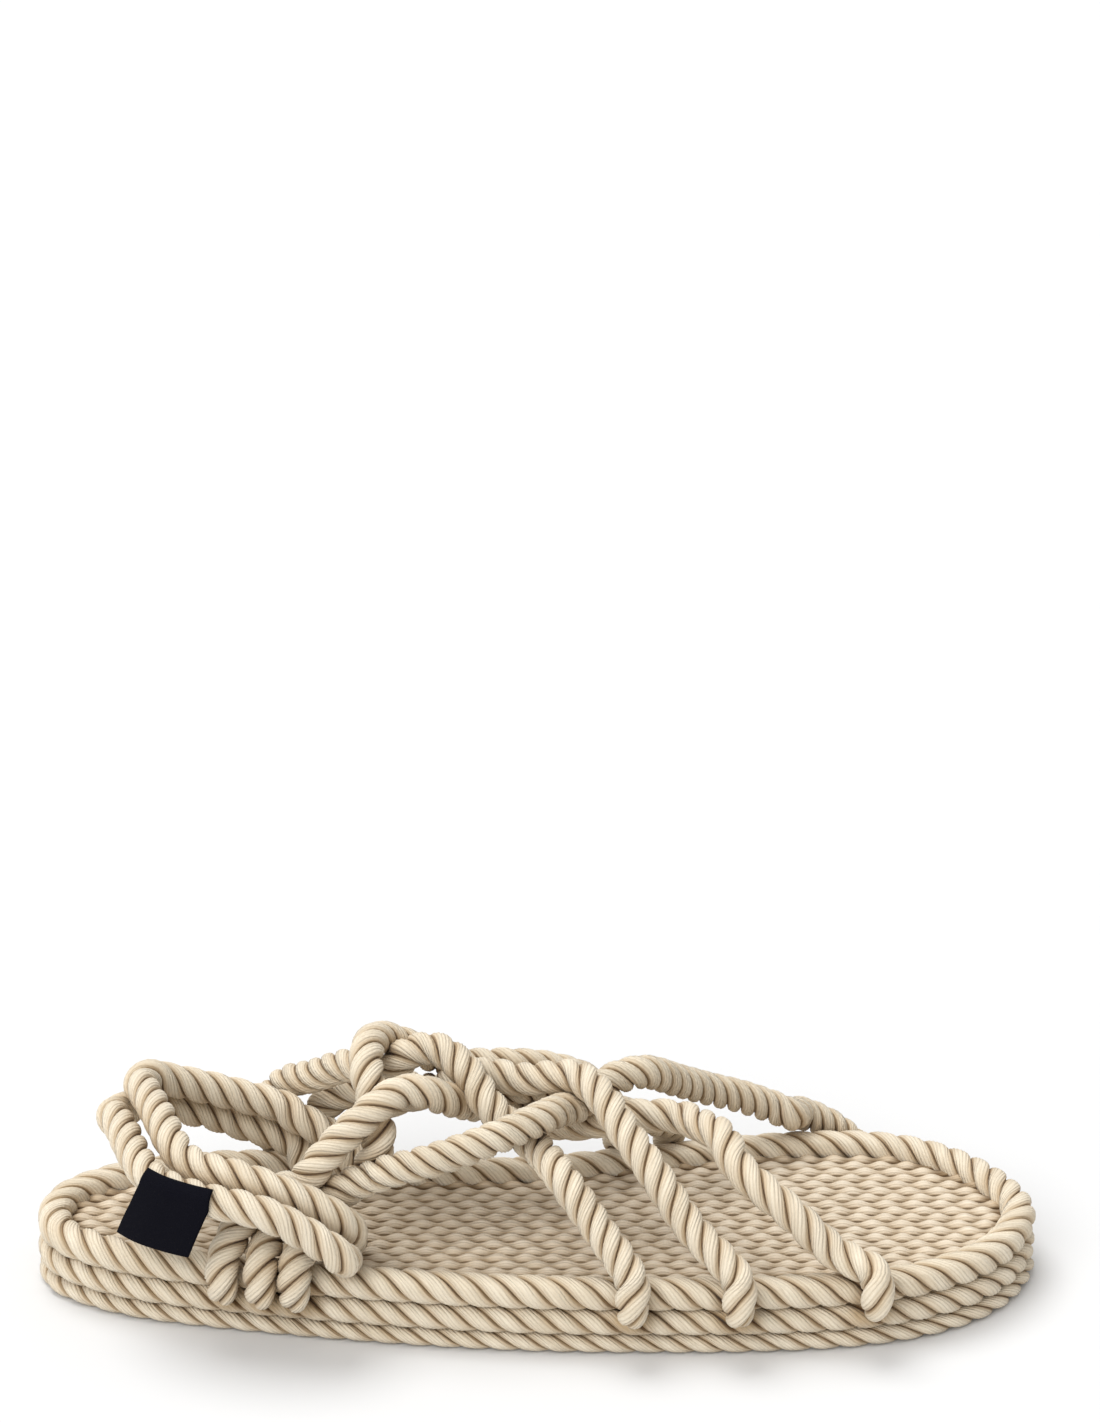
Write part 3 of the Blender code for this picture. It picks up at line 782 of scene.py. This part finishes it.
def footbed():
    """The cords of the upper and the lower face and the slab between them, as one object."""
    objects = []
    for key, level, facing, step, sides in (
        # name, height of the crowns, way they face, length of a ring, sides of a ring
        ("upper_cord", FOOTBED_HEIGHT + CROWN_RISE, 1, 0.0007, 8),
        ("lower_cord", 0.0003, -1, 0.0013, 6),
    ):
        for number, (points, deep, tint) in enumerate(mat_cords(level, facing, step, sides)):
            uv = np.arange(points.shape[1] + 1)[None] * step
            # Closeness to every rope, for painted shade where the ropes lie on the mat
            layers = {"deep": deep, "tint": np.full(deep.shape, tint), "close": closeness(points)}
            objects.append(grid_mesh(f"{key}_{number}", points, uv, layers, False, True))
    objects.append(middle_slab())
    return joined("woven_mat", objects)


mat = footbed()
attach(mat, "root")
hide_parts("footbed")
print("footbed:", len(mat.data.polygons))

# %% [markdown]
# Six ropes make the upper, three from each side. They are hooked over the edge at the forefoot, cross over
# and under one another on the instep, and are hooked over the edge again at the heel. Each is made by
# itself and they are then joined as one object, because the frame has them as one piece. Some are twisted
# tighter than others, as in the photograph.

# %% Crossed straps
STRAP_LAYS = {
    "near_first": 0.0180,
    "near_second": 0.0200,
    "near_third": 0.0230,
    "far_first": 0.0190,
    "far_second": 0.0190,
    "far_third": 0.0155,
}
straps = []
for number, (key, strap) in enumerate(FRONT_STRAPS.items()):
    curve = strap_curve(strap)
    twist = {"lay": STRAP_LAYS[key], "start": (1, 0, 0), "phase": 0.7 * number}
    straps.append(rope("strap_" + key, [key], curve[:, :3], radii=curve[:, 3], **twist))
upper = joined("crossed_straps", straps)
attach(upper, "root")
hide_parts("front_straps")
print("upper:", len(upper.data.polygons))

# %% [markdown]
# The heel strap is a pair of ropes that lie one on the other and stand open and slack behind the heel. They
# are the same twisted rope on their own lines. They stay two objects, because the frame has two pieces.

# %% Heel strap
HEEL_LAY = 0.0215
heel = []
for number, (key, shape) in enumerate(HEEL_ROPES.items()):
    curve = heel_curve(shape)
    twist = {"lay": HEEL_LAY, "start": (1, 0, 0), "phase": 1.9 * number}
    piece = rope(key.replace("strap", "loop"), [key], curve[:, :3], radii=curve[:, 3], **twist)
    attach(piece, "root")
    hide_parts(key)
    heel.append(piece)
print("heel strap:", [len(o.data.polygons) for o in heel])

# %% [markdown]
# The label is a short piece of black tape folded over the lower heel rope, and its flap hangs down the
# front with a slight bow. It could be draped as cloth, but tape this short hardly falls, so its section is
# worked out and carried along the rope. It is a thin sheet with two faces.

# %% Label
LABEL_AT = 0.311  # share of the lower heel rope's length
LABEL_WIDTH = 0.0208
LABEL_DROP = 0.0158
LABEL_SLANT = 0.42  # how far the flap swings along the rope, as a share of its drop
LABEL_THICKNESS = 0.0006
LABEL_WRAP = 62  # degrees up over the rope
LABEL_BOW = 0.0005
LABEL_RINGS = 31
HEEL_PLACES = 1200  # along the lower heel rope, for the label's place on it
HEEL_STEP = 12  # so many of those places each way give the rope's direction


def label_section():
    """The label's path and its section as (out, up) pairs, seen along the rope.

    Path = reach * (cos turn, sin turn) over the rope, then (reach + bow * sin(pi * share), -drop * share)
    down the flap. The section goes along the path on the inner face and back on the outer face, a thickness
    further out.
    """
    reach = ROPE_RADIUS + 2 * GAP
    turns = np.radians(np.linspace(LABEL_WRAP, 0, 14))
    share = np.linspace(0, 1, 25)[1:]
    over = np.stack([np.cos(turns), np.sin(turns)], axis=1) * reach
    flap = np.stack([reach + np.sin(share * math.pi) * LABEL_BOW, -share * LABEL_DROP], axis=1)
    path = np.concatenate([over, flap])
    ways = unit(np.gradient(path, axis=0))
    away = np.stack([-ways[:, 1], ways[:, 0]], axis=1)
    away = away * np.sign(away[:, :1] + 1e-9)
    return path, np.concatenate([path, (path + away * LABEL_THICKNESS)[::-1]])


def label_piece():
    """The section carried along the rope: place = rope's middle + out + up + slant of the flap."""
    fine = evenly(heel_curve(HEEL_ROPES["heel_strap_lower"]), HEEL_PLACES)[:, :3]
    share = LABEL_WIDTH / length_of(fine)
    places = ((LABEL_AT + np.linspace(-0.5, 0.5, LABEL_RINGS) * share) * len(fine)).round().astype(int)
    along = unit(fine[places + HEEL_STEP] - fine[places - HEEL_STEP])
    # Out points to the near side, and up points up, whichever way the rope runs
    out = unit(np.cross(along, (0.0, 0.0, 1.0)))
    out = out * np.where(out[:, 1:2] > 0, -1, 1)
    up = unit(np.cross(out, along))
    up = up * np.where(up[:, 2:] > 0, 1, -1)
    path, section = label_section()
    swing = np.clip(-section[:, 1], 0, None) * LABEL_SLANT
    rings = (
        fine[places][:, None]
        + section[None, :, :1] * out[:, None]
        + section[None, :, 1:] * up[:, None]
        + swing[None, :, None] * along[LABEL_RINGS // 2]
    )
    uv = np.linspace(0, LABEL_WIDTH, LABEL_RINGS + 1)[None]
    return grid_mesh("label_patch", rings[None], uv, {}, False, True), (LABEL_WIDTH, length_of(path))


label, label_size = label_piece()
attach(label, "root")
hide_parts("label")
print("label:", [round(x, 4) for x in label_size])

# %% [markdown]
# The finish is worked out in shaders. Their nodes could be wired one by one, but a pattern is easier to
# read as a sum, so a small class wraps a socket, and an expression on it adds the Math nodes.

# %% Shader maths
class Field:
    """A shader socket that can be used in sums."""

    def __init__(self, graph, socket):
        self.graph = graph
        self.socket = socket

    def combine(self, operation, *others, swap=False):
        values = [self, *others]
        if swap:
            values.reverse()
        return self.graph.node("ShaderNodeMath", {"operation": operation}, dict(enumerate(values)))

    def __add__(self, other):
        return self.combine("ADD", other)

    def __radd__(self, other):
        return self.combine("ADD", other)

    def __sub__(self, other):
        return self.combine("SUBTRACT", other)

    def __rsub__(self, other):
        return self.combine("SUBTRACT", other, swap=True)

    def __mul__(self, other):
        return self.combine("MULTIPLY", other)

    def __rmul__(self, other):
        return self.combine("MULTIPLY", other)

    def __pow__(self, other):
        return self.combine("POWER", other)

    def wave(self):
        """The height of a half wave: round tops and sharp valleys."""
        return self.combine("SINE").combine("ABSOLUTE")

    def clamp(self):
        return self.graph.node("ShaderNodeClamp", {}, {"Value": self})


class Graph:
    """A material's node tree."""

    def __init__(self, name):
        self.material = bpy.data.materials.new(name)
        self.material.use_nodes = True
        self.tree = self.material.node_tree
        self.shader = self.tree.nodes["Principled BSDF"]

    def node(self, kind, settings, values, output=0):
        """A node of this kind, with its settings made first, then the values or links of its sockets."""
        node = self.tree.nodes.new(kind)
        for key, value in settings.items():
            setattr(node, key, value)
        self.put(node, values)
        return Field(self, node.outputs[output])

    def put(self, node, values):
        """Each value goes on the socket of that name: a field as a link, and anything else as a constant."""
        for key, value in values.items():
            if isinstance(value, Field):
                self.tree.links.new(value.socket, node.inputs[key])
            else:
                node.inputs[key].default_value = value

    def surface(self, values):
        """Values or fields for the shader that the material ends in."""
        self.put(self.shader, values)

    def attribute(self, name):
        return self.node("ShaderNodeAttribute", {"attribute_name": name}, {}, "Fac")

    def mix(self, factor, first, second):
        """One colour into another: input 0 is the factor, 6 and 7 the colours, and output 2 the result."""
        settings = {"data_type": "RGBA", "clamp_factor": True}
        return self.node("ShaderNodeMix", settings, {0: factor, 6: first, 7: second}, 2)

    def noise(self, vector, scale, detail, roughness):
        values = {"Vector": vector, "Scale": scale, "Detail": detail, "Roughness": roughness}
        return self.node("ShaderNodeTexNoise", {}, values, "Fac")

    def stretched(self, vector, scale):
        settings = {"operation": "MULTIPLY"}
        return self.node("ShaderNodeVectorMath", settings, {0: vector, 1: scale})

    def bump(self, height, distance):
        """A normal tilted by the slope of the height, which is this many metres where the field is 1."""
        return self.node("ShaderNodeBump", {}, {"Height": height, "Distance": distance, "Strength": 1.0})


print("a field's sums:", [name.strip("_") for name in vars(Field) if name not in vars(Graph)])

# %% [markdown]
# Rope of this kind is matt and off-white to beige. Light bounces about in its valleys and in the places
# where ropes lie close, so they look warm brown, and that shade is painted into the colour: brown where a
# point lies deep or near another rope, near black at the bottom of a valley. Fine yarns run along each
# strand and show as lines in the surface. They are too fine to be made, so they are a wave round the strand
# in the UV map, which also bumps the surface. The mat is the same rope, a little paler from wear.

# %% Rope finish
YARNS = 10  # round each strand
YARN_RELIEF = 0.00022
WANDER = (3.0, 90.0, 1.0)  # how fast the yarns stray: round the strand, along it
STREAKS = (20.0, 110.0, 1.0)  # fine stripes along the yarns
FUZZ_SCALE = 1900.0
PATCH_SCALE = 60.0


def rope_material(name, light, dark, brown, valley):
    """A rope's finish.

    Colour = light to dark by the shade, then to brown as painted shade where another rope is close or the
    point is deep, then to the valley's colour, a darker painted shade, where it is deepest. Shade = patches
    + streaks + tint + lines between yarns + fuzz, by their shares.
    """
    graph = Graph(name)
    uv = graph.node("ShaderNodeUVMap", {"uv_map": "strand"}, {})
    place = graph.node("ShaderNodeTexCoord", {}, {}, "Object")
    deep = graph.attribute("deep")
    close = graph.attribute("close")
    tint = graph.attribute("tint")
    round_strand = graph.node("ShaderNodeSeparateXYZ", {}, {0: uv}, 0)
    wander = graph.noise(graph.stretched(uv, WANDER), 1.0, 1.0, 0.5)
    yarns = (math.pi * (YARNS * round_strand + 1.6 * wander)).wave()
    streaks = graph.noise(graph.stretched(uv, STREAKS), 1.0, 2.0, 0.6)
    fuzz = graph.noise(place, FUZZ_SCALE, 2.0, 0.6)
    patches = graph.noise(place, PATCH_SCALE, 3.0, 0.55)
    shade = 0.9 * (patches - 0.5) + 1.3 * (streaks - 0.5) + 0.25 * tint
    shade = shade + 0.30 * (1.0 - yarns) ** 2.0 + 0.5 * (fuzz - 0.5)
    base = graph.mix((shade + 0.15).clamp(), light, dark)
    # Painted shade: brown where another rope lies close and little light reaches
    shaded_near_ropes = graph.mix((0.75 * close ** 1.6).clamp(), base, brown)
    # Painted shade in the valleys between strands: brown where a point lies deep
    soft = graph.mix((deep * (0.75 + 0.5 * streaks)).clamp(), shaded_near_ropes, brown)
    # Painted shade, darkest at the bottom of the valleys, and more so where they lie near another rope
    colour = graph.mix(((deep + 0.35 * close - 0.50) * 1.7).clamp(), soft, valley)
    normal = graph.bump(yarns + 0.8 * streaks + 0.5 * fuzz, YARN_RELIEF)
    graph.surface({"Base Color": colour, "Roughness": 0.86, "Normal": normal})
    graph.surface({"Specular IOR Level": 0.2, "Sheen Weight": 0.1, "Sheen Roughness": 0.6})
    return graph.material


# The brown and valley colours below are painted shade, for the valleys and for places near other ropes
rope_finish = rope_material(
    "rope",
    light=(0.77, 0.685, 0.545, 1),
    dark=(0.59, 0.487, 0.345, 1),
    brown=(0.42, 0.28, 0.135, 1),
    valley=(0.12, 0.058, 0.016, 1),
)
mat_finish = rope_material(
    "footbed_mat",
    light=(0.78, 0.69, 0.56, 1),
    dark=(0.64, 0.535, 0.40, 1),
    brown=(0.44, 0.315, 0.18, 1),
    valley=(0.13, 0.073, 0.028, 1),
)
print("rope finishes:", {m.name: len(m.node_tree.nodes) for m in (rope_finish, mat_finish)})

# %% [markdown]
# The label's tape is near black and dull, with a weave too fine to see as threads. A fine noise in its
# colour and bump does for it. The finishes then go on their pieces.

# %% Label finish
WEAVE_SCALE = 3200.0
WEAVE_RELIEF = 0.0003


def label_material():
    """The tape's finish: near black to black by the weave, which bumps it too."""
    graph = Graph("label_cloth")
    place = graph.node("ShaderNodeTexCoord", {}, {}, "Object")
    weave = graph.noise(place, WEAVE_SCALE, 1.0, 0.5)
    colour = graph.mix(weave, (0.001, 0.001, 0.003, 1), (0.004, 0.004, 0.008, 1))
    graph.surface({"Base Color": colour, "Roughness": 0.75, "Normal": graph.bump(weave, WEAVE_RELIEF)})
    graph.surface({"Specular IOR Level": 0.06})
    return graph.material


label_finish = label_material()
for finish, pieces in (
    (rope_finish, [*edges, upper, *heel]),
    (mat_finish, [mat]),
    (label_finish, [label]),
):
    for piece in pieces:
        piece.data.materials.append(finish)
print("materials:", {o.name: [m.name for m in o.data.materials] for o in [*edges, mat, upper, *heel, label]})

# %% [markdown]
# The sandal stands on a pale floor. It could be a bent backdrop, but the camera looks down on it, so a wide
# plane fills the picture. It lies a hair below the sole, so that nothing of the sole lies in it.

# %% Floor
FLOOR_SIZE = 12
FLOOR_DROP = 0.0002
bpy.ops.mesh.primitive_plane_add(size=FLOOR_SIZE, location=(0, 0, -FLOOR_DROP))
floor = bpy.context.object
floor.name = "floor"
floor_graph = Graph("floor")
floor_graph.surface({"Base Color": (0.70, 0.70, 0.70, 1), "Roughness": 0.9, "Specular IOR Level": 0.0})
floor.data.materials.append(floor_graph.material)
print("floor:", FLOOR_SIZE, "m wide")

# %% [markdown]
# The light is soft and comes mostly from above, as in a product photograph. Area lamps would fall off
# across the picture, so a bright surrounding does part of it, and two far, wide lights give the shading and
# the shadow. The Standard view transform keeps the colours as they are set.

# %% Light
world = bpy.data.worlds.new("studio")
bpy.context.scene.world = world
world.use_nodes = True
world.node_tree.nodes["Background"].inputs["Color"].default_value = (1, 1, 1, 1)
world.node_tree.nodes["Background"].inputs["Strength"].default_value = 0.65
bpy.context.scene.view_settings.view_transform = "Standard"


def soft_light(name, place, angle, strength):
    """A far light, this many degrees wide, that shines from the place towards the sandal."""
    data = bpy.data.lights.new(name, "SUN")
    data.angle = math.radians(angle)
    data.energy = strength
    obj = bpy.data.objects.new(name, data)
    obj.location = place
    obj.rotation_euler = Vector(place).to_track_quat("Z", "Y").to_euler()
    bpy.context.scene.collection.objects.link(obj)
    return obj


lights = [soft_light("key", (-0.25, 0.30, 1.0), 40, 1.8), soft_light("fill", (-0.4, -0.8, 0.6), 50, 1.7)]
print("lights:", {light.name: round(light.data.energy, 2) for light in lights})

# %% [markdown]
# The camera is far off with a long lens, and aims above the sandal, because the sandal fills only the lower
# part of the picture. How high it stands and how large the sandal is in the picture were fitted to the
# outline of the sole.

# %% Camera
ELEVATION = math.radians(27)
LENS = 150.0  # mm
SENSOR = 36  # mm, for the picture's longer side
PICTURE_HEIGHT = 1422  # pixels
SCALE = 3550.0  # pixels for each metre of the sandal
SOLE_POINT = (0.140, 0, 0.012)  # the middle of the sole, from the back of the heel
SOLE_ROW = 1232  # the row of the picture where that point lies, counted from the top
SOLE_ASIDE = 13  # how many pixels it lies left of the middle column
lens_pixels = LENS * PICTURE_HEIGHT / SENSOR
distance = lens_pixels / SCALE
pitch = ELEVATION - math.atan((SOLE_ROW - PICTURE_HEIGHT / 2) / lens_pixels)
target = Vector(SOLE_POINT) + Vector(SHIFT)
away = Vector((0, -math.cos(ELEVATION), math.sin(ELEVATION)))
camera_data = bpy.data.cameras.new("camera")
camera_data.lens = LENS
camera_data.sensor_width = SENSOR
camera = bpy.data.objects.new("camera", camera_data)
camera.location = target + distance * away + Vector((SOLE_ASIDE / SCALE, 0, 0))
camera.rotation_euler = (math.pi / 2 - pitch, 0, 0)
bpy.context.scene.collection.objects.link(camera)
bpy.context.scene.camera = camera
print("camera:", round(distance, 3), "m off,", round(math.degrees(pitch), 2), "degrees down")

# %% [markdown]
